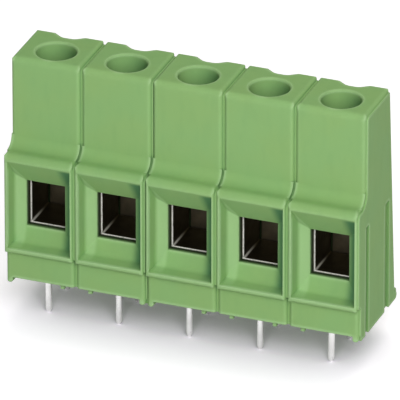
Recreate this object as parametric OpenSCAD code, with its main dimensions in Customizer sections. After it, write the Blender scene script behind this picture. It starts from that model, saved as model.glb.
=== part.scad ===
// Five-pole solder-in screw terminal block with rising clamp cages.
// X runs along the row, the wires enter at the front (-Y), the screws are driven from the top (+Z).
// The origin is the middle of the two rows of solder pins, on the top face of the board.

/* [Row] */
// Distance from one pole to the next
pitch = 10.16; // [10:0.01:12]
// Distance between the two rows of solder pins
row_gap = 7.0; // [6.8:0.05:7.4]

/* [Housing outline] */
// Height of the feet that hold the housing off the board
foot_h = 0.75; // [0.5:0.05:1.2]
// Height of the housing above its own underside
housing_h = 31.8; // [31.2:0.1:36]
// How far the front frame stands ahead of the front pin row
frame_front = 3.65; // [3.4:0.05:5]
// Setback of the base below the frame
base_setback = 0.85; // [0.4:0.05:1.2]
// Setback of the tall upper part behind the frame
upper_setback = 3.15; // [2.9:0.05:3.2]
// Height of the base under the frame
base_h = 3.9; // [3.4:0.1:4.2]
// Height of the ledge above the underside
ledge_h = 18.75; // [18.65:0.05:20]
// Depth of the housing at its top, from the frame front to the back wall
top_depth = 12.35; // [12.2:0.05:15]
// Lean of the back wall
back_lean = 4.4; // [3.5:0.1:5]
// How far the heel stands out behind the back wall
heel_out = 0.85; // [0.4:0.05:1.2]
// Height of the heel above the board
heel_h = 1.5; // [1.2:0.1:2.4]
// Space left free under the housing behind the rear pins
heel_room = 1.7; // [1.5:0.05:2]

/* [Housing edges] */
// Radius along the top front edge
top_front_r = 0.9; // [0.6:0.05:1.2]
// Radius along the top back edge
top_back_r = 0.35; // [0.2:0.05:0.6]
// Radius along the front edge of the ledge
ledge_r = 1.1; // [0.8:0.05:1.3]
// Radius of the hollow between the ledge and the upper front
hollow_r = 1.6; // [0.9:0.05:1.7]
// Radius along the lower edge of the frame
frame_low_r = 0.6; // [0.5:0.05:0.8]
// Radius of the edges beside each seam
lip_r = 0.5; // [0.5:0.01:0.55]
// Width of the seam between neighbouring poles
seam_w = 0.32; // [0.25:0.01:0.45]
// Gap between the end faces of the two housings
block_gap = 0.1; // [0.05:0.01:0.15]
// Depth of the seam between neighbouring poles
seam_d = 0.42; // [0.32:0.01:0.45]
// Depth of the scallop in the back wall behind each screw
scallop_d = 1.2; // [0.8:0.05:1.5]
// Width of the scallop at the back wall
scallop_w = 5.0; // [4.6:0.1:5.6]
// Width of the scallop's floor
scallop_floor_w = 1.8; // [1.4:0.1:2.2]
// Radius that blends the scallop into the wall and into its floor
scallop_r = 1.5; // [0.8:0.1:1.8]

/* [Wire funnel] */
// Width of the funnel mouth
funnel_w = 9.0; // [8.6:0.05:9.05]
// Height of the funnel mouth
funnel_h = 13.0; // [12.6:0.05:13.05]
// Height of the lower edge of the mouth above the frame's lower edge
funnel_sill = 0.85; // [0.8:0.05:1]
// Depth of the funnel
funnel_d = 2.8; // [2.4:0.05:2.85]
// Depth of the steep outer part of the funnel
funnel_steep_d = 2.0; // [1.6:0.05:2.1]
// Inward draft over the steep outer part
funnel_draft = 0.31; // [0.1:0.01:0.5]
// Radius of the hollow inside the funnel
funnel_r = 0.9; // [0.3:0.05:1.1]
// Width of the wire hole
hole_w = 5.56; // [5.2:0.02:5.6]
// Height of the wire hole
hole_h = 6.8; // [6.5:0.05:6.9]
// Height of the wire hole above the lower edge of the mouth
hole_sill = 2.45; // [2.4:0.05:2.8]
// Thickness of the wall round the wire hole
hole_wall = 1.05; // [0.8:0.05:1.2]

/* [Block joint] */
// Width of the front dovetail groove at the end face
dovetail_front_w = 1.1; // [0.8:0.05:1.4]
// Width of the rear dovetail groove at the end face
dovetail_rear_w = 1.6; // [1:0.05:1.9]
// How much wider a groove is at its bottom
dovetail_flare = 0.2; // [0.1:0.05:0.3]
// Depth of the dovetail grooves
dovetail_d = 0.4; // [0.3:0.05:0.5]
// Height of the dovetails above the underside
dovetail_h = 15.4; // [14:0.1:18]
// Place of the front dovetail behind the front pin row
dovetail_front_y = 0; // [-0.5:0.05:0.5]
// Place of the rear dovetail behind the front pin row
dovetail_rear_y = 7.6; // [7.4:0.05:8.5]
// Play of a dovetail rib in its groove
dovetail_play = 0.04; // [0.02:0.01:0.1]

/* [Feet] */
// Width of the foot under the left front corner
foot_left_w = 0.9; // [0.8:0.05:1.2]
// Width of the foot under the right front corner
foot_right_w = 0.8; // [0.8:0.05:1.1]
// Length of the corner feet
foot_l = 1.3; // [1.2:0.05:1.4]
// Radius of the lower corners of the feet
foot_r = 0.3; // [0.1:0.05:0.35]
// Width of the skirt that joins each front foot to the heel
skirt_w = 0.8; // [0.6:0.05:0.9]
// Width of the standoff nubs
nub_w = 0.55; // [0.4:0.05:1]
// Setback of the front nubs from the base
nub_setback = 0.5; // [0.1:0.05:0.6]
// Distance of the nubs on the left of a boundary between two poles
nub_left_off = 2.2; // [1.8:0.05:2.4]
// Distance of the nubs on the right of a boundary between two poles
nub_right_off = 1.8; // [1.6:0.05:2.2]
// Setback of the rear nubs from the heel
nub_rear_setback = 1.6; // [1.2:0.05:1.8]

/* [Clamp cage] */
// Width of the cage along the row
cage_w = 6.8; // [6.6:0.05:7]
// Depth of the cage along the wire
cage_d = 6.0; // [5.8:0.05:6.1]
// Thickness of the cage's side walls
cage_wall = 0.9; // [0.8:0.05:0.95]
// Thickness of the cage's floor
cage_floor = 0.9; // [0.7:0.05:1.2]
// Thickness of the threaded block at the cage's top
cage_block = 2.5; // [2:0.05:2.6]
// Outer corner radius of the cage
cage_r = 0.8; // [0.4:0.05:0.9]
// Corner radius of the cage's window
cage_window_r = 0.2; // [0.1:0.05:0.4]
// Play between the cage and its shaft in the housing
cage_play = 0.1; // [0.08:0.01:0.15]
// Height of the open cage's floor above the wire hole's sill
cage_lift = 0.1; // [0:0.05:0.2]
// Play above the current bar when the cage is fully open
cage_rest_gap = 0.3; // [0.2:0.05:0.4]

/* [Screw] */
// Nominal thread diameter
screw_d = 4.0; // [3.5:0.1:4.2]
// Thread pitch
screw_pitch = 0.7; // [0.5:0.05:0.7]
// Turns from fully open to fully closed
screw_turns = 9; // [5:1:9]
// Head diameter
head_d = 5.8; // [5.6:0.05:5.85]
// Head height
head_h = 2.3; // [1.8:0.05:2.4]
// Width of the driver slot
slot_w = 1.0; // [0.8:0.05:1.2]
// Depth of the driver slot
slot_d = 1.2; // [0.8:0.05:1.4]
// Chamfer at the screw's tip
tip_chamfer = 0.5; // [0.3:0.05:0.7]
// Radial play of the thread in the cage
screw_play = 0.05; // [0.02:0.01:0.08]
// Gap between the fully raised cage and the head
head_gap = 0.2; // [0.1:0.05:0.4]
// Play all round the head in its chamber
head_play = 0.1; // [0.05:0.01:0.15]
// Diameter of the driver access bore in the housing
access_d = 5.5; // [5.2:0.05:5.5]
// Chamfer round the mouth of the access bore
access_chamfer = 0.18; // [0.1:0.02:0.3]

/* [Contact] */
// Thickness of the contact strip
strip_t = 1.0; // [0.8:0.05:1.1]
// Play above and below the current bar
bar_play = 0.05; // [0.02:0.01:0.1]
// Room in front of the front solder pin inside the base
pin_room = 0.9; // [0.6:0.05:1.2]
// Width of the current bar inside the cage
bar_w = 4.6; // [4:0.05:4.8]
// Inner bend radius of the strip
bend_r = 0.35; // [0.2:0.05:0.5]
// Width across the retaining shoulders
shoulder_w = 7.9; // [7.6:0.05:8.1]
// Height of the retaining shoulders above the foot strip
shoulder_h = 4.5; // [3:0.1:5]
// Width of the foot strip
foot_strip_w = 3.0; // [2:0.05:4]
// Height of the foot strip above the board
foot_strip_z = 1.9; // [1.4:0.05:2.2]
// Solder pin diameter
pin_d = 0.9; // [0.8:0.05:1]
// Width of the pin's square neck inside the housing
neck_w = 1.1; // [1:0.05:1.3]
// Length of the solder pins below the top face of the board
pin_l = 5.0; // [3:0.1:6]
// Length of the tapered pin tip
pin_tip = 0.5; // [0.3:0.05:0.8]

/* [Hidden] */
$fn = 64;
over = 1;                                    // overshoot of a cut through a face
arc_step = 12;                               // turn of one facet of a rounded edge, in degrees
pole_count = 5;
left_count = 2;                              // poles in the left-hand housing
pole_w = pitch - seam_w;                     // width of one pole between its seams
pole_left = (pitch - block_gap) / 2;         // from a pole's centre to its left face

// Heights above the board
top_z = foot_h + housing_h;
ledge_z = foot_h + ledge_h;
frame_z = foot_h + base_h;
mouth_z = frame_z + funnel_sill;
mouth_top_z = mouth_z + funnel_h;
hole_z = mouth_z + hole_sill;
hole_top_z = hole_z + hole_h;
bar_z = hole_top_z + bar_play;               // underside of the current bar
bar_top_z = bar_z + strip_t;
floor_z = hole_z + cage_lift;                // top of the cage's floor, fully open
cage_z = floor_z - cage_floor;
block_z = bar_top_z + cage_rest_gap;         // underside of the threaded block, fully open
cage_top_z = block_z + cage_block;
travel = screw_turns * screw_pitch;
tip_z = bar_top_z + screw_play;
head_z = cage_top_z + travel + head_gap;     // underside of the screw head
shoulder_z = head_z + head_h + head_play;    // ceiling that holds the head down

// Distances along the wires
front_row_y = -row_gap / 2;
rear_row_y = row_gap / 2;
face_y = front_row_y - frame_front;
base_y = face_y + base_setback;
upper_y = face_y + upper_setback;
back_y = face_y + top_depth;                 // back wall at its top
foot_back_y = back_y + housing_h * tan(back_lean);
heel_y = foot_back_y + heel_out;
heel_root_y = rear_row_y + heel_room;        // front of the heel, under the housing
hole_y = face_y + funnel_d;
shaft_y = hole_y + hole_wall;                // front wall of the cage shaft
cage_y = shaft_y + cage_play;
screw_y = cage_y + cage_d / 2;
shaft_back_y = cage_y + cage_d + cage_play;
web_y = rear_row_y - strip_t / 2;            // front face of the contact's rear web
web_back_y = web_y + strip_t;

// Half widths of what slides or seats in each pole
shaft_x = cage_w / 2 + cage_play;
shoulder_x = shoulder_w / 2;
head_chamber_d = head_d + 2 * head_play;

// Centre of pole i, counted from 0 at the left end of the row
function pole_x(i) = (i - (pole_count - 1) / 2) * pitch;

// ---- Drawing helpers ------------------------------------------------------

// Extrude a Y-Z outline along X, from x over width w
module along_x(x, w) {
    translate([x, 0, 0]) rotate([90, 0, 90]) linear_extrude(w) children();
}

// Extrude an X-Z outline along Y, from y over depth d
module along_y(y, d) {
    translate([0, y + d, 0]) rotate([90, 0, 0]) linear_extrude(d) children();
}

// Extrude an X-Y outline along Z, from z0 to z1
module along_z(z0, z1) {
    translate([0, 0, z0]) linear_extrude(z1 - z0) children();
}

// Outline through corners given as [point, radius], each rounded by its radius
function outline(corners) = let (n = len(corners)) [
    for (k = [0:n - 1])
        each rounded(corners[(k + n - 1) % n][0], corners[k][0], corners[(k + 1) % n][0], corners[k][1])
];

// Points of the arc of radius r that rounds the corner b between a and c
function rounded(a, b, c, r) = r <= 0 ? [b] :
    let (u = (a - b) / norm(a - b), v = (c - b) / norm(c - b),
         half = acos(u * v) / 2,
         centre = b + (u + v) / norm(u + v) * r / sin(half),
         start = b + u * r / tan(half) - centre,
         turn = (180 - 2 * half) * sign(u.y * v.x - u.x * v.y),
         steps = ceil(abs(turn) / arc_step))
    [for (k = [0:steps]) let (t = turn * k / steps)
        centre + [start.x * cos(t) - start.y * sin(t), start.x * sin(t) + start.y * cos(t)]];

// Rectangle from p to q with its own radius at each corner, counted from p by (q.x, p.y)
module round_rect(p, q, r = [0, 0, 0, 0]) {
    polygon(outline([[p, r[0]], [[q.x, p.y], r[1]], [q, r[2]], [[p.x, q.y], r[3]]]));
}

// ---- Housing, outside -----------------------------------------------------

// Side view of the housing without its heel, drawn d inside its surface
module side_outline(d) {
    wall = d / cos(back_lean);
    polygon(outline([
        [[base_y + d, foot_h], 0],
        [[base_y + d, frame_z + d], 0],
        [[face_y + d, frame_z + d], frame_low_r - d],
        [[face_y + d, ledge_z - d], ledge_r - d],
        [[upper_y + d, ledge_z - d], hollow_r + d],
        [[upper_y + d, top_z - d], top_front_r - d],
        [[back_y + d * tan(back_lean) - wall, top_z - d], top_back_r - d],
        [[foot_back_y - wall, foot_h], 0]]));
}

// Block of one pole's width from y0 back, with rounded front edges and, where given, rounded
// lower and upper edges
module lip_zone(x, y0, z0, z1, low_r = 0, top_r = 0) {
    p = x - pole_left;
    q = p + pole_w;
    intersection() {
        along_z(z0, z1) round_rect([p, y0], [q, heel_y + over], [lip_r, lip_r, 0, 0]);
        along_y(y0, heel_y + over - y0) round_rect([p, z0], [q, z1], [low_r, low_r, top_r, top_r]);
    }
}

// Extrude a plan downwards along the leaning back wall, whose face is y = 0 in the plan
module along_back_wall() {
    translate([0, back_y, top_z]) rotate([back_lean, 0, 0])
        along_z(-housing_h - 2 * over, 2 * over) children();
}

// Plan of the back wall of poles first to last, with a blended scallop behind each screw
module scalloped_plan(first, last) {
    mouth = scallop_w / 2;
    floor = scallop_floor_w / 2;
    reach = 2 * top_depth;
    side = pitch;
    polygon(outline([
        [[pole_x(first) - side, -reach], 0],
        [[pole_x(first) - side, 0], 0],
        for (i = [first:last]) each [
            [[pole_x(i) - mouth, 0], scallop_r],
            [[pole_x(i) - floor, -scallop_d], scallop_r],
            [[pole_x(i) + floor, -scallop_d], scallop_r],
            [[pole_x(i) + mouth, 0], scallop_r]],
        [[pole_x(last) + side, 0], 0],
        [[pole_x(last) + side, -reach], 0]]));
}

// One pole between its seams
module pole_body(x) {
    left = x - pole_left;
    intersection() {
        along_x(left, pole_w) side_outline(0);
        along_back_wall()
            round_rect([left, -2 * top_depth], [left + pole_w, 0], [0, 0, lip_r, lip_r]);
        union() {
            lip_zone(x, upper_y, frame_z, top_z, top_r = lip_r);
            lip_zone(x, face_y, frame_z, ledge_z, lip_r, lip_r);
            lip_zone(x, base_y, foot_h, ledge_z - 2 * lip_r);
            translate([left, upper_y - hollow_r, ledge_z - lip_r])
                cube([pole_w, hollow_r + over, hollow_r + lip_r]);
        }
    }
}

// Rounded heel along the foot of the back wall, down to the board, drawn d inside its surface
module heel(x, w, d) {
    r = min(heel_out, heel_h / 2) - d / 2;
    along_x(x, w) round_rect([heel_root_y, 0], [heel_y - d, heel_h - d], [0, r, r, 0]);
}

// Outside of the housing of poles first to last
module housing_shell(first, last) {
    left = pole_x(first) - pole_left;
    right = pole_x(last) + pole_left;
    core_x = left + lip_r;
    intersection() {
        union() {
            along_x(core_x, right - core_x) side_outline(seam_d);
            for (i = [first:last]) pole_body(pole_x(i));
        }
        along_back_wall() scalloped_plan(first, last);
    }
    heel(core_x, right - core_x, seam_d);
    for (i = [first:last]) heel(pole_x(i) - pole_left, pole_w, 0);
    corner_foot(left, foot_left_w, [lip_r, 0, 0, 0]);
    corner_foot(pole_x(last) - pole_left + pole_w - foot_right_w, foot_right_w, [0, lip_r, 0, 0]);
    skirt(left);
    skirt(right - skirt_w);
    if (last > first) for (i = [first:last - 1]) {
        standoffs(pole_x(i) + pitch / 2 - nub_left_off);
        standoffs(pole_x(i) + pitch / 2 + nub_right_off);
    }
    for (groove = dovetails())
        translate([left - block_gap, 0, 0])
            dovetail(groove[0], groove[1], dovetail_play, block_gap + lip_r, 0);
}

// Place and width of each dovetail
function dovetails() = [[front_row_y + dovetail_front_y, dovetail_front_w],
                        [front_row_y + dovetail_rear_y, dovetail_rear_w]];

// Dovetail that fills a groove in the plane x = 0 but for play, with its neck on the +X side
module dovetail(y, w, play, neck, below) {
    root = w / 2 - play;
    tip = root + dovetail_flare / 2;
    reach = dovetail_d - play;
    along_z(-below, foot_h + dovetail_h - play)
        translate([0, y]) polygon([[neck, -root], [0, -root], [-reach, -tip],
                                   [-reach, tip], [0, root], [neck, root]]);
}

// Foot under a front corner, with the given radii in plan
module corner_foot(x, w, plan_r) {
    intersection() {
        along_z(0, foot_h + over) round_rect([x, base_y], [x + w, base_y + foot_l], plan_r);
        along_y(base_y, foot_l) round_rect([x, 0], [x + w, foot_h + over], [foot_r, foot_r, 0, 0]);
    }
}

// Skirt along the bottom of an end wall, from the front foot back to the heel
module skirt(x) {
    y0 = base_y + foot_l / 2;
    translate([x, y0, 0]) cube([skirt_w, heel_root_y + over - y0, foot_h + over]);
}

// Pair of nubs that hold the housing off the board, one at the front and one at the back
module standoffs(x) {
    for (y = [base_y + nub_setback, heel_y - nub_rear_setback])
        translate([x - nub_w / 2, y, 0]) cube([nub_w, nub_w, foot_h + over / 2]);
}

// ---- Housing, inside ------------------------------------------------------

// Funnel of one pole: steep sides and floor, then a bevel to the wire hole, under a sloped roof
module funnel(x) {
    steep_y = face_y + funnel_steep_d;
    half = funnel_w / 2;
    inner = half - funnel_draft;
    intersection() {
        along_z(mouth_z - over, mouth_top_z + over) translate([x, 0]) polygon(outline([
            [[-half, face_y - over], 0],
            [[-half, face_y], 0],
            [[-inner, steep_y], funnel_r],
            [[-hole_w / 2, hole_y], 0],
            [[hole_w / 2, hole_y], 0],
            [[inner, steep_y], funnel_r],
            [[half, face_y], 0],
            [[half, face_y - over], 0]]));
        along_x(x - half - over, funnel_w + 2 * over) polygon(outline([
            [[face_y - over, mouth_z], 0],
            [[face_y, mouth_z], 0],
            [[steep_y, mouth_z + funnel_draft], funnel_r],
            [[hole_y, hole_z], 0],
            [[hole_y, hole_top_z], 0],
            [[face_y, mouth_top_z], 0],
            [[face_y - over, mouth_top_z], 0]]));
    }
}

// Everything that is hollow in one pole
module pole_cavity(x) {
    funnel(x);
    translate([x, 0, 0]) {
        // wire hole
        translate([-hole_w / 2, hole_y - over, hole_z]) cube([hole_w, hole_wall + 2 * over, hole_h]);
        // shaft in which the cage rises
        translate([-shaft_x, shaft_y, foot_h - over])
            cube([2 * shaft_x, shaft_back_y - shaft_y, head_z - foot_h + over]);
        // room for the contact behind and under the cage
        translate([-shaft_x, shaft_y, foot_h - over])
            cube([2 * shaft_x, web_back_y - shaft_y, bar_top_z + bar_play - foot_h + over]);
        translate([-shaft_x, front_row_y - pin_room, foot_h - over])
            cube([2 * shaft_x, shaft_y + over - front_row_y + pin_room,
                  foot_strip_z + strip_t + bar_play - foot_h + over]);
        // slots that hold the contact's shoulders
        translate([-shoulder_x, web_y, foot_h - over])
            cube([shoulder_w, strip_t, foot_strip_z + shoulder_h - foot_h + over]);
        // chamber round the screw head, and the bore for the driver
        translate([0, screw_y, 0]) {
            translate([0, 0, head_z - over]) cylinder(h = shoulder_z - head_z + over, d = head_chamber_d);
            translate([0, 0, shoulder_z - over]) cylinder(h = top_z - shoulder_z + 2 * over, d = access_d);
            translate([0, 0, top_z - access_chamfer])
                cylinder(h = access_chamfer + over, d1 = access_d, d2 = access_d + 2 * (access_chamfer + over));
        }
    }
}

// Housing of poles first to last, with dovetail grooves in its right end
module housing(first, last) {
    color([0.53, 0.69, 0.44]) difference() {
        housing_shell(first, last);
        for (i = [first:last]) pole_cavity(pole_x(i));
        for (groove = dovetails())
            translate([pole_x(last) + pole_left, 0, 0])
                dovetail(groove[0], groove[1], 0, over, over);
    }
}

// ---- Clamp ----------------------------------------------------------------

// Rising cage of one pole: a ring round the current bar, threaded through its thick top
module clamp_cage(i) {
    color([0.78, 0.78, 0.76]) difference() {
        along_y(cage_y, cage_d) translate([pole_x(i), 0])
            round_rect([-cage_w / 2, cage_z], [cage_w / 2, cage_top_z], [cage_r, cage_r, cage_r, cage_r]);
        along_y(cage_y - over, cage_d + 2 * over) translate([pole_x(i), 0])
            round_rect([-cage_w / 2 + cage_wall, floor_z], [cage_w / 2 - cage_wall, block_z],
                       [cage_window_r, cage_window_r, cage_window_r, cage_window_r]);
        translate([pole_x(i), screw_y, block_z - over])
            cylinder(h = cage_block + 2 * over, d = screw_d + 2 * screw_play);
    }
}

// Captive screw of one pole
module clamp_screw(i) {
    color([0.82, 0.82, 0.80]) translate([pole_x(i), screw_y, 0]) difference() {
        union() {
            translate([0, 0, tip_z + tip_chamfer]) cylinder(h = head_z - tip_z, d = screw_d);
            translate([0, 0, tip_z])
                cylinder(h = tip_chamfer, d1 = screw_d - 2 * tip_chamfer, d2 = screw_d);
            translate([0, 0, head_z]) cylinder(h = head_h, d = head_d);
        }
        translate([-head_d, -slot_w / 2, head_z + head_h - slot_d])
            cube([2 * head_d, slot_w, slot_d + over]);
    }
}

// ---- Contact --------------------------------------------------------------

// Side view of the bent strip: current bar, rear web and foot
module strip_outline() {
    outer_r = bend_r + strip_t;
    foot_top_z = foot_strip_z + strip_t;
    foot_y = front_row_y - strip_t / 2;
    polygon(outline([
        [[shaft_y, bar_z], 0],
        [[web_y, bar_z], bend_r],
        [[web_y, foot_top_z], bend_r],
        [[foot_y, foot_top_z], 0],
        [[foot_y, foot_strip_z], 0],
        [[web_back_y, foot_strip_z], outer_r],
        [[web_back_y, bar_top_z], outer_r],
        [[shaft_y, bar_top_z], 0]]));
}

// Contact of one pole: bent strip with retaining shoulders and two solder pins
module contact(i) {
    foot_top_z = foot_strip_z + strip_t;
    color([0.86, 0.86, 0.84]) translate([pole_x(i), 0, 0]) {
        intersection() {
            along_x(-bar_w / 2, bar_w) strip_outline();
            union() {
                translate([-bar_w / 2, shaft_y, foot_top_z]) cube([bar_w, web_back_y - shaft_y, bar_top_z]);
                translate([-foot_strip_w / 2, front_row_y - strip_t, 0])
                    cube([foot_strip_w, row_gap + 2 * strip_t, foot_top_z]);
            }
        }
        translate([-shoulder_x, web_y, foot_top_z + bend_r])
            cube([shoulder_w, strip_t, shoulder_h - bend_r - strip_t]);
        for (y = [front_row_y, rear_row_y]) translate([0, y, 0]) solder_pin();
    }
}

// Solder pin: a square neck under the foot strip, then a round pin with a tapered tip
module solder_pin() {
    translate([-neck_w / 2, -neck_w / 2, foot_h])
        cube([neck_w, neck_w, foot_strip_z + strip_t / 2 - foot_h]);
    translate([0, 0, pin_tip - pin_l]) cylinder(h = pin_l - pin_tip + foot_h, d = pin_d);
    translate([0, 0, -pin_l]) cylinder(h = pin_tip, d1 = pin_d / 2, d2 = pin_d);
}

housing(0, left_count - 1);  // housing_2_pole
housing(left_count, pole_count - 1);  // housing_3_pole
clamp_cage(0);  // clamp_cage_1
clamp_cage(1);  // clamp_cage_2
clamp_cage(2);  // clamp_cage_3
clamp_cage(3);  // clamp_cage_4
clamp_cage(4);  // clamp_cage_5
clamp_screw(0);  // clamp_screw_1
clamp_screw(1);  // clamp_screw_2
clamp_screw(2);  // clamp_screw_3
clamp_screw(3);  // clamp_screw_4
clamp_screw(4);  // clamp_screw_5
contact(0);  // contact_1
contact(1);  // contact_2
contact(2);  // contact_3
contact(3);  // contact_4
contact(4);  // contact_5
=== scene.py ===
"""Looks, light and camera of a five-pole screw terminal block for a circuit board.

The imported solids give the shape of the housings, cages and contacts. The clamping screws are
built here with their threads and driver slots, and every piece gets a procedural finish.
"""

from __future__ import annotations

import logging
import math
from dataclasses import dataclass, field
from enum import Enum
from typing import Sequence, Union

import bmesh
import bpy
import numpy as np
from mathutils import Matrix, Vector

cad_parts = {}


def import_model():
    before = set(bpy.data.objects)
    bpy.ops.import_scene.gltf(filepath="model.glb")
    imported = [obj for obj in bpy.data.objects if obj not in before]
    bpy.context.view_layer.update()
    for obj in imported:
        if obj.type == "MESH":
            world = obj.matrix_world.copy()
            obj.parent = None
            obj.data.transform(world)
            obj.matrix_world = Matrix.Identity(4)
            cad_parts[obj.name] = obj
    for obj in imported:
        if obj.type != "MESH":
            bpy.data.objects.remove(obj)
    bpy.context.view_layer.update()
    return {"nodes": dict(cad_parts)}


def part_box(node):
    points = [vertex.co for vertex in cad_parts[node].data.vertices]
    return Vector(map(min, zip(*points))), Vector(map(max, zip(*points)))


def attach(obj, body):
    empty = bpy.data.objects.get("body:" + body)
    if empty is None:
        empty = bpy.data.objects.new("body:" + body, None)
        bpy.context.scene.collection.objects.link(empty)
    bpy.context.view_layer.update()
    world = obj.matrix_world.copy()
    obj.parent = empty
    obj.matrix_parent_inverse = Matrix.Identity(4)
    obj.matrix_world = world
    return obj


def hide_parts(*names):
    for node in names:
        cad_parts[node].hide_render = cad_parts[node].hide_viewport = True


LOG = logging.getLogger("terminal_block")
MM = 0.001
PITCH = 10.16 * MM  # from one pole to the next
JOIN = 1e-7  # vertices closer than this are joined, in metres
FLAT = 1e-8  # faces lower than this are left out of the screw thread, in metres

Colour = tuple[float, float, float]
Span = tuple[float, float]


def mm(low: float, high: float) -> Span:
    """Returns a span that is given in millimetres."""
    return low * MM, high * MM


# ---- Shader graph ---------------------------------------------------------


@dataclass(frozen=True)
class Value:
    """One number output of a shader graph; an expression on it adds Math nodes.

    Attributes:
        graph: Graph that the output belongs to.
        socket: Blender's own output socket.
    """

    graph: "Graph"
    socket: bpy.types.NodeSocket

    def _math(self, operation: str, a: "Input", b: "Input" = 0.0) -> "Value":
        """Returns the result of a Math node."""
        node = self.graph.add("ShaderNodeMath", {"operation": operation}, {0: a, 1: b})
        return Value(self.graph, node.outputs[0])

    def __add__(self, other: "Input") -> "Value":
        """Returns the sum."""
        return self._math("ADD", self, other)

    __radd__ = __add__

    def __sub__(self, other: "Input") -> "Value":
        """Returns the difference."""
        return self._math("SUBTRACT", self, other)

    def __rsub__(self, other: "Input") -> "Value":
        """Returns the difference, with this value taken away."""
        return self._math("SUBTRACT", other, self)

    def __mul__(self, other: "Input") -> "Value":
        """Returns the product."""
        return self._math("MULTIPLY", self, other)

    __rmul__ = __mul__

    def __pow__(self, other: "Input") -> "Value":
        """Returns the power."""
        return self._math("POWER", self, other)

    def __abs__(self) -> "Value":
        """Returns the value without its sign."""
        return self._math("ABSOLUTE", self)

    def hypot(self, other: "Value") -> "Value":
        """Returns the length of the vector that the two values make."""
        return (self * self + other * other) ** 0.5

    def at_most(self, other: "Input") -> "Value":
        """Returns the smaller of two values."""
        return self._math("MINIMUM", self, other)

    def at_least(self, other: "Input") -> "Value":
        """Returns the larger of two values."""
        return self._math("MAXIMUM", self, other)

    def from_nearest(self, step: float) -> "Value":
        """Returns the distance past the nearest multiple of a step."""
        node = self.graph.add("ShaderNodeMath", {"operation": "WRAP"},
                              {0: self, 1: step / 2, 2: -step / 2})
        return Value(self.graph, node.outputs[0])

    def over(self, span: Span) -> "Value":
        """Eases the value from 0 to 1.

        Args:
            span: Value that becomes 0, and value that becomes 1, which may be the smaller one.

        Returns:
            The eased value.
        """
        low, high = span
        node = self.graph.add("ShaderNodeMapRange", {"interpolation_type": "SMOOTHSTEP"},
                              {"Value": self, "From Min": low, "From Max": high})
        return Value(self.graph, node.outputs["Result"])


Input = Union[Value, float, int, bpy.types.NodeSocket, Sequence[float]]


class Graph:
    """Node tree of a material or world."""

    def __init__(self, tree: bpy.types.NodeTree) -> None:
        """Empties the tree.

        Args:
            tree: Node tree to build in.
        """
        self.tree = tree
        tree.nodes.clear()

    def add(self, kind: str, settings: dict[str, object] | None = None,
            sockets: dict[str | int, Input] | None = None) -> bpy.types.Node:
        """Adds a node, sets it up and feeds its sockets.

        Args:
            kind: Blender's type name of the node.
            settings: The node's own properties, which are set first.
            sockets: Value or link of each socket, by name or number.

        Returns:
            The new node.
        """
        node = self.tree.nodes.new(kind)
        for name, value in (settings or {}).items():
            setattr(node, name, value)
        for key, value in (sockets or {}).items():
            self.feed(node.inputs[key], value)
        return node

    def feed(self, target: bpy.types.NodeSocket, value: Input) -> None:
        """Links a socket, or sets it to a constant.

        Args:
            target: Socket to feed.
            value: Output to link, or the constant.
        """
        if isinstance(value, Value):
            self.tree.links.new(value.socket, target)
        elif isinstance(value, bpy.types.NodeSocket):
            self.tree.links.new(value, target)
        elif isinstance(value, (tuple, list)) and len(value) == 3 and target.type == "RGBA":
            target.default_value = (*value, 1.0)
        else:
            target.default_value = value

    def place(self) -> tuple[Value, Value, Value]:
        """Returns X, Y and Z of the shaded point in the part's own frame."""
        coords = self.add("ShaderNodeTexCoord")
        split = self.add("ShaderNodeSeparateXYZ", sockets={0: coords.outputs["Object"]})
        x, y, z = (Value(self, out) for out in split.outputs)
        return x, y, z

    def noise(self, size: float, detail: float, roughness: float,
              stretch: Sequence[float]) -> Value:
        """Adds noise in the part's own frame.

        Args:
            size: Size of the largest features, in metres.
            detail: Number of finer layers.
            roughness: Strength of the finer layers.
            stretch: Scale along each axis; a small one draws the noise out along it.

        Returns:
            A value of 0.5 on average.
        """
        coords = self.add("ShaderNodeTexCoord")
        scaled = self.add("ShaderNodeVectorMath", {"operation": "MULTIPLY"},
                          {0: coords.outputs["Object"], 1: tuple(s / size for s in stretch)})
        node = self.add("ShaderNodeTexNoise", sockets={
            "Vector": scaled.outputs[0], "Scale": 1.0, "Detail": detail,
            "Roughness": roughness})
        return Value(self, node.outputs[0])

    def mix(self, share: Input, a: Input, b: Input) -> bpy.types.NodeSocket:
        """Mixes two colours.

        Args:
            share: Share of the second colour.
            a: First colour.
            b: Second colour.

        Returns:
            The mixed colour.
        """
        node = self.add("ShaderNodeMix", {"data_type": "RGBA"}, {0: share, 6: a, 7: b})
        return node.outputs[2]

    def bump(self, height: Value, depth: float,
             normal: bpy.types.NodeSocket) -> bpy.types.NodeSocket:
        """Turns a height into a relief.

        Args:
            height: Height between 0 and 1.
            depth: Depth of the relief, in metres.
            normal: Normal that the relief is laid over.

        Returns:
            The normal.
        """
        return self.add("ShaderNodeBump", sockets={
            "Strength": 1.0, "Distance": depth, "Height": height, "Normal": normal}).outputs[0]

    def openness(self, reach: float, inside: bool = False, samples: int = 8) -> Value:
        """Finds where the surface lies open.

        Args:
            reach: Distance within which other surfaces count, in metres.
            inside: Whether to look into the solid, which finds its convex edges instead.
            samples: Number of directions that are tried at each point.

        Returns:
            1 on open surfaces, and less in corners, or at edges when looking inside.
        """
        node = self.add("ShaderNodeAmbientOcclusion", {"samples": samples, "inside": inside},
                        {"Distance": reach})
        return Value(self, node.outputs["AO"])

    def soft_edge(self, radius: float, samples: int = 6) -> bpy.types.NodeSocket:
        """Returns a normal that rounds the sharp edges.

        Args:
            radius: Radius of the rounding, in metres.
            samples: Number of directions that are tried at each point.

        Returns:
            The normal.
        """
        return self.add("ShaderNodeBevel", {"samples": samples}, {"Radius": radius}).outputs[0]


# ---- Finishes -------------------------------------------------------------


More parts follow.
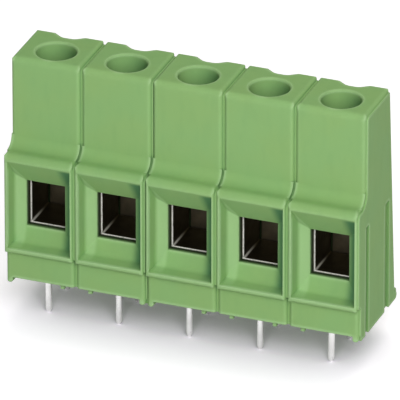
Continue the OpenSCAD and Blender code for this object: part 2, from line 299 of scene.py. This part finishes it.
def surface(name: str) -> tuple[bpy.types.Material, Graph, bpy.types.Node]:
    """Makes a material with one Principled shader.

    Args:
        name: Name of the material.

    Returns:
        The material, its graph and its shader.
    """
    material = bpy.data.materials.new(name)
    material.use_nodes = True
    graph = Graph(material.node_tree)
    shader = graph.add("ShaderNodeBsdfPrincipled")
    graph.add("ShaderNodeOutputMaterial", sockets={0: shader.outputs[0]})
    return material, graph, shader


@dataclass(frozen=True)
class Mottle:
    """One layer of noise in a finish.

    Attributes:
        size: Size of its largest features, in metres.
        detail: Number of finer layers.
        fine: Strength of the finer layers.
        stretch: Scale along each axis; a small one draws the noise out along it.
        span: Noise over which its colour eases in.
        tint: Strength of its colour.
        matt: Change of roughness from the lowest noise to the highest.
    """

    size: float
    detail: float = 2.0
    fine: float = 0.5
    stretch: tuple[float, float, float] = (1.0, 1.0, 1.0)
    span: Span = (0.0, 1.0)
    tint: float = 1.0
    matt: float = 0.0

    def noise(self, graph: Graph) -> Value:
        """Returns its noise, which is 0.5 on average."""
        return graph.noise(self.size, self.detail, self.fine, self.stretch)

    def colour(self, noise: Value) -> Value:
        """Returns the share of its colour where the noise is as given."""
        return noise.over(self.span) * self.tint

    def roughness(self, noise: Value) -> Value:
        """Returns what it adds to the roughness, which is 0 on average."""
        return (noise - 0.5) * self.matt


@dataclass(frozen=True)
class HousingHollows:
    """Where a housing is hollow: spans that a share eases in over, in metres.

    Attributes:
        sill: Z of the funnels' lower edge.
        roof: Z of the funnels' upper edge.
        funnel_wall: Distance of the funnels' walls from the pole's middle.
        funnel_back: Y behind the funnels.
        right_flank: Side on which the right flanks begin.
        right_front: Y of the right flanks' front edge.
        left_flank: Side on which the left flanks begin.
        left_wall: Side on which the left flanks end.
        left_front: Y of the left flanks' front edge.
        roof_slope: Rise of the left flanks' upper edge for each metre to the side.
        under_roof: Z of the left flanks' upper edge, carried to the pole's middle.
        chamber_wall: Distance of the chambers' walls from the pole's middle.
        chamber_front: Y of the wire holes' reveals.
        chamber_back: Y of the chambers' back walls.
        bore_y: Y of the driver bores' axes.
        bore_wall: Radius of the driver bores.
        bore_mouth: Z of the driver bores' mouths.
        bore_floor: Z of the driver bores' lower ends.
        bore_side: Side towards which the shade painted in the driver bores grows.
        bore_share: Strength of the shade painted in the driver bores.
    """

    sill: Span = mm(5.2, 6.0)
    roof: Span = mm(18.7, 18.1)
    funnel_wall: Span = mm(4.62, 4.54)
    funnel_back: Span = mm(-2.0, -3.0)
    right_flank: Span = mm(2.2, 3.7)
    right_front: Span = mm(-7.1, -6.7)
    left_flank: Span = mm(-2.5, -3.1)
    left_wall: Span = mm(-4.3, -3.9)
    left_front: Span = mm(-6.9, -6.5)
    roof_slope: float = 1.97
    under_roof: Span = mm(9.8, 9.3)
    chamber_wall: Span = mm(3.9, 3.7)
    chamber_front: Span = mm(-4.42, -3.7)
    chamber_back: Span = mm(4.6, 4.3)
    bore_y: float = -0.2 * MM
    bore_wall: Span = mm(3.4, 3.15)
    bore_mouth: Span = mm(32.5, 31.3)
    bore_floor: Span = mm(23.0, 24.0)
    bore_side: Span = mm(-2.4, 2.6)
    bore_share: float = 0.6

    def shares(self, graph: Graph) -> tuple[Value, Value, Value]:
        """Finds the hollow parts.

        Args:
            graph: Graph of the material.

        Returns:
            The shares of painted shade on the right flanks and in the bores, of painted light on
            the left flanks, and of painted shade in the chambers.
        """
        x, y, z = graph.place()
        side = x.from_nearest(PITCH)
        width = abs(side)
        mouth = z.over(self.sill) * z.over(self.roof)
        funnel = mouth * width.over(self.funnel_wall) * y.over(self.funnel_back)
        # The right flanks get painted shade, and the left flanks painted light.
        right = funnel * side.over(self.right_flank) * y.over(self.right_front)
        left = funnel * side.over(self.left_flank) * side.over(self.left_wall)
        left = left * y.over(self.left_front)
        left = left * (z - width * self.roof_slope).over(self.under_roof)
        chamber = mouth * width.over(self.chamber_wall) * y.over(self.chamber_front)
        # Painted shade in the driver bores, stronger on their right side.
        bore = side.hypot(y - self.bore_y).over(self.bore_wall) * z.over(self.bore_mouth)
        bore = bore * z.over(self.bore_floor) * side.over(self.bore_side) * self.bore_share
        return right.at_least(bore), left, chamber * y.over(self.chamber_back)


@dataclass(frozen=True)
class MouldedPlastic:
    """Satin polyamide with the fine grain of a spark-eroded mould.

    Attributes:
        name: Name of the material.
        colour: Main colour.
        warm: Colour that the surface drifts to in broad patches.
        highlight_tint: Colour of painted highlight on rounded edges and on the funnels' left
            flanks.
        shade_and_grain_tint: Colour of painted shade in gaps, flanks and bores, and of flow marks
            and grain.
        dark: Colour of the shade painted inside the clamp chambers.
        edge_highlight: Strength of the highlight painted on the edges.
        lit: Strength of the light painted on the funnels' left flanks.
        gap: Strength of the shade painted in narrow gaps.
        shaded: Strength of the shade painted on the right flanks and in the bores.
        painted_shade: Strength of the shade painted inside the chambers.
        edge_reach: Depth of solid that counts as an edge, in metres.
        edge_span: Openness of the solid over which the painted edge highlight eases in.
        clear_span: Openness outside over which it eases in.
        gap_reach: Width of a gap that counts as narrow, in metres.
        gap_span: Openness outside over which the shade painted in the gaps eases in.
        drift: The broad patches.
        flow: The flow marks of the moulding.
        grain: The grain of the mould.
        relief: Depth of the grain, in metres.
        roughness: Mean roughness.
        specular: Level of the shader's reflection.
        ior: Index of refraction.
        edge: Radius that breaks the sharp edges, in metres.
        hollows: Where the housings are hollow.
    """

    name: str = "housing_polyamide"
    colour: Colour = (0.254, 0.452, 0.167)
    warm: Colour = (0.262, 0.450, 0.161)
    highlight_tint: Colour = (0.372, 0.584, 0.275)
    shade_and_grain_tint: Colour = (0.060, 0.190, 0.085)
    dark: Colour = (0.018, 0.026, 0.012)
    edge_highlight: float = 0.85
    lit: float = 0.6
    gap: float = 0.35
    shaded: float = 0.85
    painted_shade: float = 0.95
    edge_reach: float = 0.6 * MM
    edge_span: Span = (0.95, 0.7)
    clear_span: Span = (0.7, 0.95)
    gap_reach: float = 1.1 * MM
    gap_span: Span = (0.68, 0.3)
    drift: Mottle = Mottle(6.0 * MM, span=(0.35, 0.65))
    flow: Mottle = Mottle(1.4 * MM, detail=3.0, stretch=(1.0, 1.0, 0.35),
                          span=(0.45, 0.75), tint=0.05, matt=0.10)
    grain: Mottle = Mottle(0.16 * MM, fine=0.6, span=(0.55, 0.8), tint=0.05, matt=0.12)
    relief: float = 0.005 * MM
    roughness: float = 0.43
    specular: float = 0.02
    ior: float = 1.5
    edge: float = 0.24 * MM
    hollows: HousingHollows = HousingHollows()

    def build(self) -> bpy.types.Material:
        """Returns the material."""
        material, graph, shader = surface(self.name)
        drift, flow, grain = (layer.noise(graph) for layer in (self.drift, self.flow, self.grain))
        clear = graph.openness(self.gap_reach)
        edges = graph.openness(self.edge_reach, inside=True).over(self.edge_span)
        right, left, chamber = self.hollows.shares(graph)
        tint = graph.mix(self.drift.colour(drift), self.colour, self.warm)
        # Painted highlight on the convex edges, and painted light on the funnels' left flanks.
        painted_light = (edges * clear.over(self.clear_span) * self.edge_highlight).at_least(left * self.lit)
        tint = graph.mix(painted_light, tint, self.highlight_tint)
        speckle = self.flow.colour(flow) + self.grain.colour(grain)
        # Painted shade in narrow gaps, mixed with the flow marks and grain of the moulding.
        deep = (clear.over(self.gap_span) * self.gap + speckle).at_most(1.0)
        tint = graph.mix(deep, tint, self.shade_and_grain_tint)
        # Painted shade on the funnels' right flanks and in the driver bores.
        tint = graph.mix(right * self.shaded, tint, self.shade_and_grain_tint)
        # Painted shade inside the clamp chambers.
        graph.feed(shader.inputs["Base Color"],
                   graph.mix(chamber * self.painted_shade, tint, self.dark))
        graph.feed(shader.inputs["Roughness"],
                   self.flow.roughness(flow) + self.grain.roughness(grain) + self.roughness)
        graph.feed(shader.inputs["Normal"],
                   graph.bump(grain, self.relief, graph.soft_edge(self.edge)))
        graph.feed(shader.inputs["IOR"], self.ior)
        graph.feed(shader.inputs["Specular IOR Level"], self.specular)
        return material


@dataclass(frozen=True)
class Plating:
    """Plated metal with drawing marks and duller patches.

    Attributes:
        name: Name of the material.
        colour: Main colour.
        dull: Colour of the duller patches.
        roughness: Mean roughness.
        patches: The duller patches.
        marks: The drawing marks.
        relief: Depth of the drawing marks, in metres.
        edge: Radius that breaks the sharp edges, in metres.
        brown: Paler colour of the painted shade.
        black: Darker colour of the painted shade.
        shade_matt: Roughness that the painted shade adds.
        glint_diffuse: Part of the metal's shine that turns to plain colour along the painted
            glint.
    """

    name: str
    colour: Colour
    dull: Colour
    roughness: float = 0.27
    patches: Mottle = Mottle(1.6 * MM, detail=3.0, span=(0.4, 0.7), tint=0.6, matt=0.16)
    marks: Mottle = Mottle(0.16 * MM, fine=0.6, stretch=(1.0, 1.0, 0.08), matt=0.12)
    relief: float = 0.003 * MM
    edge: float = 0.06 * MM
    brown: Colour = (0.115, 0.096, 0.056)
    black: Colour = (0.050, 0.042, 0.024)
    shade_matt: float = 0.14
    glint_diffuse: float = 0.8

    def shade(self, graph: Graph) -> tuple[Input, Input]:
        """Returns the shares of painted shade and of painted glint; plain metal has neither."""
        return 0.0, 0.0

    def build(self) -> bpy.types.Material:
        """Returns the material."""
        material, graph, shader = surface(self.name)
        patches, marks = self.patches.noise(graph), self.marks.noise(graph)
        # Painted shade pulls the colour towards brown and black, and a painted glint lowers the
        # metalness so its own bright colour shows.
        dark, painted_glint = self.shade(graph)
        colour = graph.mix(self.patches.colour(patches), self.colour, self.dull)
        painted_shade = graph.mix(patches, self.brown, self.black)
        graph.feed(shader.inputs["Base Color"], graph.mix(dark, colour, painted_shade))
        graph.feed(shader.inputs["Roughness"],
                   self.patches.roughness(patches) + self.marks.roughness(marks)
                   + self.roughness + dark * self.shade_matt)
        graph.feed(shader.inputs["Metallic"], 1.0 - painted_glint * self.glint_diffuse)
        graph.feed(shader.inputs["Normal"],
                   graph.bump(marks, self.relief, graph.soft_edge(self.edge)))
        return material


@dataclass(frozen=True)
class CagePlating(Plating):
    """Nickel of a clamp cage, with a painted glint on its rims and painted shade inside its
    window.

    Attributes:
        front: Y of the cage's front rim, in metres.
        floor: Z of the window's floor, in metres.
        half: Half the width of the window, in metres.
        skin: Depth over which the painted shade of the window's walls begins.
        lip: Depth of the front rim.
        rim: Distance from the window at which the painted glint of its rim ends.
        breaks: The duller breaks in the rim's painted glint.
        least: Strength of the rim in a break.
        crease: Distance from the window's lower corners at which their painted bright line ends.
        fade: Depth over which that line fades.
        line: Strength of that line.
    """

    front: float = -3.2 * MM
    floor: float = 8.05 * MM
    half: float = 2.5 * MM
    skin: Span = mm(0.12, 0.04)
    lip: Span = mm(0.16, 0.04)
    rim: Span = mm(0.22, 0.12)
    breaks: Mottle = Mottle(0.35 * MM, span=(0.3, 0.5), tint=0.4)
    least: float = 0.6
    crease: Span = mm(0.34, 0.08)
    fade: Span = mm(5.0, 0.8)
    line: float = 0.7

    def shade(self, graph: Graph) -> tuple[Input, Input]:
        """Returns the painted shade inside, and the painted glint round the window and inwards.
        """
        x, y, z = graph.place()
        side = abs(x.from_nearest(PITCH)) - self.half
        below = self.floor - z
        behind = y - self.front
        # Painted shade on all but the window's front rim; that rim and a crease line get a
        # painted glint.
        window = side.over(self.skin) * below.over(self.skin)
        broken = self.breaks.colour(self.breaks.noise(graph)) + self.least
        rim = behind.over(self.lip) * side.at_least(below).over(self.rim) * broken
        crease = side.hypot(below).over(self.crease) * behind.over(self.fade) * self.line
        painted_glint = rim.at_least(crease)
        return window.at_least(1.0 - rim) * (1.0 - painted_glint), painted_glint


@dataclass(frozen=True)
class ContactPlating(Plating):
    """Tin of a contact, bright on the pins, with shade painted on it inside the housing.

    Attributes:
        height: Z over which the painted shade begins, in metres.
        strength: Strength of the painted shade.
    """

    height: Span = mm(0.8, 2.6)
    strength: float = 0.97

    def shade(self, graph: Graph) -> tuple[Input, Input]:
        """Returns the shade painted above the pins, which have no painted glint."""
        _, _, z = graph.place()
        # Painted shade on the contact above the pins, where it lies inside the housing.
        return z.over(self.height) * self.strength, 0.0


class Finish(Enum):
    """Finishes of the terminal block's pieces."""

    HOUSING = MouldedPlastic()
    CAGE = CagePlating("cage_nickel", (0.96, 0.94, 0.86), (0.84, 0.82, 0.74))
    SCREW = Plating("screw_zinc", (0.72, 0.73, 0.75), (0.54, 0.55, 0.58), 0.3,
                    marks=Mottle(0.16 * MM, fine=0.6, matt=0.12))
    CONTACT = ContactPlating("contact_tin", (0.86, 0.86, 0.84), (0.70, 0.70, 0.67), 0.3)


class Palette:
    """Builds each finish once and hands it to the pieces that wear it."""

    def __init__(self) -> None:
        """Builds all the finishes."""
        self.made = {finish: finish.value.build() for finish in Finish}

    def dress(self, piece: bpy.types.Object, finish: Finish) -> None:
        """Gives a piece its finish.

        Args:
            piece: The piece.
            finish: Its finish.
        """
        piece.data.materials.clear()
        piece.data.materials.append(self.made[finish])


# ---- Shading of the solids ------------------------------------------------


@dataclass(frozen=True)
class SoftNormals:
    """Shades the facets of a rounded edge as one curve, on vertices that stay where they are.

    Attributes:
        limit: Largest turn between two faces that are shaded as one, in radians.
        cell: Distance within which two vertices count as one, in metres.
    """

    limit: float = math.radians(28.0)
    cell: float = 0.002 * MM

    def apply(self, mesh: bpy.types.Mesh) -> None:
        """Sets the normals of a mesh.

        Args:
            mesh: The mesh to shade.
        """
        corner_vert = self._read(mesh.loops, "vertex_index", 1, np.int32)
        places = self._read(mesh.vertices, "co", 3, np.float32)
        face_normal = self._read(mesh.polygons, "normal", 3, np.float32).astype(float)
        area = self._read(mesh.polygons, "area", 1, np.float32).astype(float)
        sizes = self._read(mesh.polygons, "loop_total", 1, np.int32)
        corner_face = np.repeat(np.arange(len(sizes)), sizes)
        _, group = np.unique(np.round(places / self.cell).astype(np.int64), axis=0,
                             return_inverse=True)
        keys = group.reshape(-1)[corner_vert]
        order = np.argsort(keys, kind="stable")
        cuts = np.flatnonzero(np.diff(keys[order])) + 1
        normals = face_normal[corner_face]
        for corners in np.split(order, cuts):
            faces = corner_face[corners]
            these = face_normal[faces]
            near = these @ these.T >= math.cos(self.limit)
            summed = near @ (these * area[faces][:, None])
            length = np.linalg.norm(summed, axis=1, keepdims=True)
            normals[corners] = np.where(length > 0, summed / np.maximum(length, 1e-20), these)
        mesh.polygons.foreach_set("use_smooth", [True] * len(mesh.polygons))
        mesh.normals_split_custom_set(normals.tolist())

    @staticmethod
    def _read(items: bpy.types.bpy_prop_collection, name: str, width: int,
              kind: type) -> np.ndarray:
        """Reads one attribute of a mesh's items.

        Args:
            items: Vertices, loops or polygons.
            name: Name of the attribute.
            width: Number of values of each item.
            kind: Type of the values.

        Returns:
            The values, one row for each item where there are several.
        """
        flat = np.empty(len(items) * width, kind)
        items.foreach_get(name, flat)
        return flat.reshape(-1, width) if width > 1 else flat


# ---- Pieces ---------------------------------------------------------------


def link_mesh(name: str, mesh: bpy.types.Mesh) -> bpy.types.Object:
    """Puts a mesh in the scene.

    Args:
        name: Name of the piece.
        mesh: Its mesh.

    Returns:
        The piece.
    """
    piece = bpy.data.objects.new(name, mesh)
    bpy.context.scene.collection.objects.link(piece)
    return piece


@dataclass
class MouldedRow:
    """The two moulded housings, which keep their solids' shape.

    Attributes:
        nodes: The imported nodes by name.
        palette: The finishes.
        normals: Shading of the rounded edges.
    """

    nodes: dict[str, bpy.types.Object]
    palette: Palette
    normals: SoftNormals = field(default_factory=SoftNormals)

    def dress(self) -> None:
        """Gives both housings their plastic."""
        for name in ("housing_2_pole", "housing_3_pole"):
            self.palette.dress(self.nodes[name], Finish.HOUSING)
            self.normals.apply(self.nodes[name].data)
            LOG.info("%s: %d faces", name, len(self.nodes[name].data.polygons))


@dataclass
class CagesAndContacts:
    """Bent and drawn metal pieces, which keep their solids' shape.

    Attributes:
        nodes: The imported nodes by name.
        palette: The finishes.
        poles: Number of poles.
        normals: Shading of the rounded edges.
    """

    nodes: dict[str, bpy.types.Object]
    palette: Palette
    poles: int = 5
    normals: SoftNormals = field(default_factory=SoftNormals)

    def dress(self) -> None:
        """Gives the cages their nickel and the contacts their tin."""
        for pole in range(1, self.poles + 1):
            for kind, finish in (("clamp_cage", Finish.CAGE), ("contact", Finish.CONTACT)):
                node = self.nodes[f"{kind}_{pole}"]
                self.palette.dress(node, finish)
                self.normals.apply(node.data)
                LOG.info("%s_%d: %d faces", kind, pole, len(node.data.polygons))


@dataclass
class ClampScrews:
    """Captive screws with a metric thread and a slotted cheese head.

    Attributes:
        palette: The finishes.
        poles: Number of poles.
        thread_r: Outer radius of the thread, in metres.
        pitch: Pitch of the thread, in metres.
        depth: Depth of the thread, in metres.
        head_h: Height of the head, in metres.
        slot_w: Width of the driver slot, in metres.
        slot_d: Depth of the driver slot, in metres.
        tip: Length of the chamfer at the tip, in metres.
        steps: Number of segments in one turn.
        root: Shares of the pitch between which the thread's root lies, before its crest.
        crest: Shares of the pitch between which its crest lies.
        run_out: Share of the pitch at which the next root begins.
        seat: Chamfer under the head, in metres.
        shoulder: Radius of the head's upper edge, in metres.
        dome: Height of the head's dome, in metres.
        crown: Share of the head's radius, and drop from its top in metres, of the dome's bend.
        slot_edge: Width that breaks the slot's edges, in metres.
        edge_steps: Number of segments across a broken edge.
        sharp_turn: Least turn between two faces whose edge is broken, in degrees.
        soft_turn: Largest turn between two faces that are shaded as one, in degrees.
        shoulder_steps: Number of segments over the head's upper edge.
        head_steps: Number of segments round the head.
    """

    palette: Palette
    poles: int = 5
    thread_r: float = 2.0 * MM
    pitch: float = 0.7 * MM
    depth: float = 0.4 * MM
    head_h: float = 2.3 * MM
    slot_w: float = 1.0 * MM
    slot_d: float = 1.2 * MM
    tip: float = 0.5 * MM
    steps: int = 36
    root: Span = (0.0, 0.14)
    crest: Span = (0.44, 0.57)
    run_out: float = 0.87
    seat: float = 0.12 * MM
    shoulder: float = 0.32 * MM
    dome: float = 0.08 * MM
    crown: Span = (0.45, 0.02 * MM)
    slot_edge: float = 0.05 * MM
    edge_steps: int = 2
    sharp_turn: float = 50.0
    soft_turn: float = 38.0
    shoulder_steps: int = 6
    head_steps: int = 48

    def build(self) -> None:
        """Makes a screw for each pole and lets it stand for the pole's solid."""
        low, high = (Vector(c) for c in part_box("clamp_screw_1"))
        height, head_r = high.z - low.z, (high.x - low.x) / 2
        mesh = self._mesh(height, head_r)
        for pole in range(1, self.poles + 1):
            low, high = (Vector(c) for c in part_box(f"clamp_screw_{pole}"))
            own = mesh.copy()
            own.transform(Matrix.Translation(((low.x + high.x) / 2, (low.y + high.y) / 2, low.z)))
            screw = link_mesh(f"slotted_screw_{pole}", own)
            self.palette.dress(screw, Finish.SCREW)
            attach(screw, f"screw_{pole}")
            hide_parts(f"clamp_screw_{pole}")
            LOG.info("%s: %d faces", screw.name, len(own.polygons))

    def _mesh(self, height: float, head_r: float) -> bpy.types.Mesh:
        """Makes the screw with its tip at the origin.

        Args:
            height: Height of the whole screw, in metres.
            head_r: Radius of the head, in metres.

        Returns:
            The mesh.
        """
        form = bmesh.new()
        self._thread(form, height - self.head_h)
        head = self._head(head_r)
        head.transform(Matrix.Translation((0.0, 0.0, height - self.head_h)))
        form.from_mesh(head)
        mesh = bpy.data.meshes.new("slotted_screw")
        form.to_mesh(mesh)
        form.free()
        SoftNormals(limit=math.radians(self.soft_turn)).apply(mesh)
        return mesh

    def _thread(self, form: bmesh.types.BMesh, length: float) -> None:
        """Adds the threaded shank, whose rows of vertices follow the helix.

        Args:
            form: Mesh that the shank is added to.
            length: Length of the shank, in metres.
        """
        root_r = self.thread_r - self.depth
        profile = [(part, root_r) for part in self.root]
        profile += [(part, self.thread_r) for part in self.crest]
        profile.append((self.run_out, root_r))
        turns = math.ceil(length / self.pitch) + 1
        rows: list[list[bmesh.types.BMVert]] = []
        for turn in range(-1, turns):
            for part, radius in profile:
                row = []
                for step in range(self.steps):
                    angle = 2 * math.pi * step / self.steps
                    z = min(max((turn + part + step / self.steps) * self.pitch, 0.0), length)
                    r = min(radius, self.thread_r - self.tip + z)
                    row.append(form.verts.new((r * math.cos(angle), r * math.sin(angle), z)))
                rows.append(row)
        per_turn = len(profile)
        for k, row in enumerate(rows[:-1]):
            for step in range(self.steps - 1):
                self._face(form, [row[step], row[step + 1], rows[k + 1][step + 1],
                                  rows[k + 1][step]])
            if k + 1 + per_turn < len(rows):
                self._face(form, [row[-1], rows[k + per_turn][0], rows[k + 1 + per_turn][0],
                                  rows[k + 1][-1]])
        form.faces.new(reversed(rows[0]))
        bmesh.ops.remove_doubles(form, verts=form.verts, dist=JOIN)
        bmesh.ops.dissolve_degenerate(form, edges=form.edges, dist=JOIN)
        bmesh.ops.holes_fill(form, edges=[edge for edge in form.edges if edge.is_boundary])

    @staticmethod
    def _face(form: bmesh.types.BMesh, corners: list[bmesh.types.BMVert]) -> None:
        """Adds a face, unless its corners all lie in one end plane."""
        heights = [vert.co.z for vert in corners]
        if max(heights) - min(heights) > FLAT:
            form.faces.new(corners)

    def _head(self, radius: float) -> bpy.types.Mesh:
        """Makes the head, turned and then slotted.

        Args:
            radius: Radius of the head, in metres.

        Returns:
            The mesh, with the head's underside at z = 0.
        """
        rim_z = self.head_h - self.dome - self.shoulder
        outline = [(0.0, 0.0), (radius - self.seat, 0.0), (radius, self.seat), (radius, rim_z)]
        for step in range(1, self.shoulder_steps + 1):
            turn = math.radians(90 * step / self.shoulder_steps)
            outline.append((radius - self.shoulder * (1 - math.cos(turn)),
                            rim_z + self.shoulder * math.sin(turn)))
        bend, drop = self.crown
        outline += [(radius * bend, self.head_h - drop), (0.0, self.head_h)]
        form = bmesh.new()
        verts = [form.verts.new((r, 0.0, z)) for r, z in outline]
        edges = [form.edges.new(pair) for pair in zip(verts[:-1], verts[1:])]
        bmesh.ops.spin(form, geom=[*verts, *edges], cent=(0, 0, 0), axis=(0, 0, 1),
                       angle=2 * math.pi, steps=self.head_steps, use_merge=True)
        bmesh.ops.remove_doubles(form, verts=form.verts, dist=JOIN)
        bmesh.ops.recalc_face_normals(form, faces=form.faces)
        turned = bpy.data.meshes.new("turned_head")
        form.to_mesh(turned)
        form.free()
        head = link_mesh("turned_head", turned)
        cutter = self._slot_cutter(radius)
        cut = head.modifiers.new("slot", "BOOLEAN")
        cut.operation, cut.solver, cut.object = "DIFFERENCE", "EXACT", cutter
        soften = head.modifiers.new("edge_break", "BEVEL")
        soften.width, soften.segments = self.slot_edge, self.edge_steps
        soften.limit_method, soften.angle_limit = "ANGLE", math.radians(self.sharp_turn)
        bpy.context.view_layer.update()
        graph = bpy.context.evaluated_depsgraph_get()
        made = bpy.data.meshes.new_from_object(head.evaluated_get(graph))
        for done in (head, cutter):
            bpy.data.objects.remove(done)
        return made

    def _slot_cutter(self, radius: float) -> bpy.types.Object:
        """Makes the bar that the driver slot is cut with.

        Args:
            radius: Radius of the head, in metres.

        Returns:
            The bar.
        """
        form = bmesh.new()
        bmesh.ops.create_cube(form, size=1.0, matrix=Matrix.LocRotScale(
            Vector((0.0, 0.0, self.head_h)), None,
            Vector((3 * radius, self.slot_w, 2 * self.slot_d))))
        mesh = bpy.data.meshes.new("slot_cutter")
        form.to_mesh(mesh)
        form.free()
        return link_mesh("slot_cutter", mesh)


# ---- Studio ---------------------------------------------------------------


@dataclass(frozen=True)
class Softbox:
    """One area light that faces the part.

    Attributes:
        name: Name of the light.
        place: Where it stands, in metres.
        size: Width and height, in metres.
        power: Power, in watts.
        colour: Colour of its light.
    """

    name: str
    place: tuple[float, float, float]
    size: tuple[float, float]
    power: float
    colour: Colour = (1.0, 1.0, 1.0)

    def build(self, aim: Vector) -> None:
        """Makes the light.

        Args:
            aim: Point that it faces.
        """
        data = bpy.data.lights.new(self.name, "AREA")
        data.shape = "RECTANGLE"
        data.size, data.size_y = self.size
        data.energy = self.power
        data.color = self.colour
        lamp = bpy.data.objects.new(self.name, data)
        lamp.location = self.place
        lamp.rotation_euler = (aim - Vector(self.place)).to_track_quat("-Z", "Y").to_euler()
        bpy.context.scene.collection.objects.link(lamp)


@dataclass(frozen=True)
class Studio:
    """Floor, light and camera.

    Attributes:
        azimuth: Camera's turn towards +X from straight ahead, in degrees.
        elevation: Camera's height above the horizon, in degrees.
        distance: From the camera to its target, in metres.
        target: Point in the middle of the view, in metres.
        view_width: Width of the view at the target, in metres.
        floor_z: Height of the floor, in metres.
        ambient: Strength of the room's own light.
        lift: Light that the white floor gives off where the camera or a reflection sees it.
        floor_half: Half the width of the floor, in metres.
        floor_tints: Colours of the floor.
        floor_drift: The broad patches of those colours.
        shadow_reach: Distance from the part within which a contact shadow is painted, in metres.
        shadow_span: Openness over which the floor's own light eases in.
        sensor: Width of the camera's sensor, in millimetres.
        clip: Nearest and farthest distance that the camera sees, in metres.
        room_tint: Colour of the room's soft light.
        aim: Point that the lights face, in metres.
        boxes: The lights.
    """

    azimuth: float = 20.964
    elevation: float = 26.724
    distance: float = 1.5
    target: tuple[float, float, float] = (0.00018, -0.00005, 0.01389)
    view_width: float = 0.053554
    floor_z: float = -5.0 * MM
    ambient: float = 0.10
    lift: float = 0.60
    floor_half: float = 1.5
    floor_tints: tuple[Colour, Colour] = ((0.85, 0.81, 0.88), (0.86, 0.82, 0.89))
    floor_drift: Mottle = Mottle(30.0 * MM, detail=1.0)
    shadow_reach: float = 22.0 * MM
    shadow_span: Span = (0.1, 0.98)
    sensor: float = 36.0
    clip: Span = (0.05, 10.0)
    room_tint: Colour = (0.95, 0.97, 1.0)
    aim: tuple[float, float, float] = (0.0, 0.0, 14.0 * MM)
    boxes: tuple[Softbox, ...] = (
        Softbox("key", (0.16, -0.40, 0.26), (0.30, 0.30), 1.60),
        Softbox("high", (0.24, -0.24, 0.36), (0.30, 0.30), 0.58),
        Softbox("top", (0.0, 0.18, 0.42), (0.36, 0.30), 0.56, (1.0, 0.97, 0.86)),
    )

    def build(self) -> None:
        """Makes the whole studio."""
        self._camera()
        self._floor()
        self._room()
        for box in self.boxes:
            box.build(Vector(self.aim))
        bpy.context.scene.view_settings.view_transform = "Standard"

    def _camera(self) -> None:
        """Makes the camera and makes it the scene's own."""
        a, e = math.radians(self.azimuth), math.radians(self.elevation)
        back = Vector((math.sin(a) * math.cos(e), -math.cos(a) * math.cos(e), math.sin(e)))
        data = bpy.data.cameras.new("camera")
        data.sensor_width = self.sensor
        data.lens = data.sensor_width * self.distance / self.view_width
        data.clip_start, data.clip_end = self.clip
        camera = bpy.data.objects.new("camera", data)
        camera.location = Vector(self.target) + back * self.distance
        camera.rotation_euler = (-back).to_track_quat("-Z", "Y").to_euler()
        bpy.context.scene.collection.objects.link(camera)
        bpy.context.scene.camera = camera

    def _seen(self, graph: Graph, kinds: Sequence[str]) -> Value:
        """Returns 1 for the kinds of ray named, and 0 for others."""
        paths = graph.add("ShaderNodeLightPath")
        first, *rest = (Value(graph, paths.outputs[kind]) for kind in kinds)
        for other in rest:
            first = first.at_least(other)
        return first

    def _floor(self) -> None:
        """Makes the floor, white to the camera, with the part's shadow and a painted contact
        shadow.
        """
        form = bmesh.new()
        bmesh.ops.create_grid(form, x_segments=1, y_segments=1, size=self.floor_half,
                              matrix=Matrix.Translation((0.0, 0.0, self.floor_z)))
        mesh = bpy.data.meshes.new("floor")
        form.to_mesh(mesh)
        form.free()
        floor = link_mesh("floor", mesh)
        material = bpy.data.materials.new("studio_floor")
        material.use_nodes = True
        graph = Graph(material.node_tree)
        matt = graph.add("ShaderNodeBsdfDiffuse", sockets={
            "Color": graph.mix(self.floor_drift.noise(graph), *self.floor_tints)})
        # Near the part the floor's glow is held back, which paints a contact shadow.
        share = (self._seen(graph, ("Is Camera Ray", "Is Glossy Ray"))
                 * graph.openness(self.shadow_reach).over(self.shadow_span))
        off = graph.add("ShaderNodeEmission", sockets={"Strength": 0.0})
        glow = graph.add("ShaderNodeEmission", sockets={"Strength": self.lift})
        lifted = graph.add("ShaderNodeMixShader", sockets={
            0: share, 1: off.outputs[0], 2: glow.outputs[0]})
        both = graph.add("ShaderNodeAddShader", sockets={0: matt.outputs[0],
                                                         1: lifted.outputs[0]})
        graph.add("ShaderNodeOutputMaterial", sockets={0: both.outputs[0]})
        mesh.materials.append(material)

    def _room(self) -> None:
        """Makes the room, which is white where it is seen and gives a little soft light."""
        world = bpy.data.worlds.new("room")
        bpy.context.scene.world = world
        world.use_nodes = True
        graph = Graph(world.node_tree)
        seen = self._seen(graph, ("Is Camera Ray", "Is Glossy Ray", "Is Transmission Ray"))
        light = graph.add("ShaderNodeBackground", sockets={
            "Color": self.room_tint, "Strength": self.ambient})
        white = graph.add("ShaderNodeBackground", sockets={
            "Color": (1.0, 1.0, 1.0), "Strength": 1.0})
        blend = graph.add("ShaderNodeMixShader", sockets={
            0: seen, 1: light.outputs[0], 2: white.outputs[0]})
        graph.add("ShaderNodeOutputWorld", sockets={0: blend.outputs[0]})


def main() -> None:
    """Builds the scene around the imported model."""
    logging.basicConfig(level=logging.INFO)
    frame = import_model()
    palette = Palette()
    MouldedRow(frame["nodes"], palette).dress()
    CagesAndContacts(frame["nodes"], palette).dress()
    ClampScrews(palette).build()
    Studio().build()


if __name__ == "__main__":
    main()
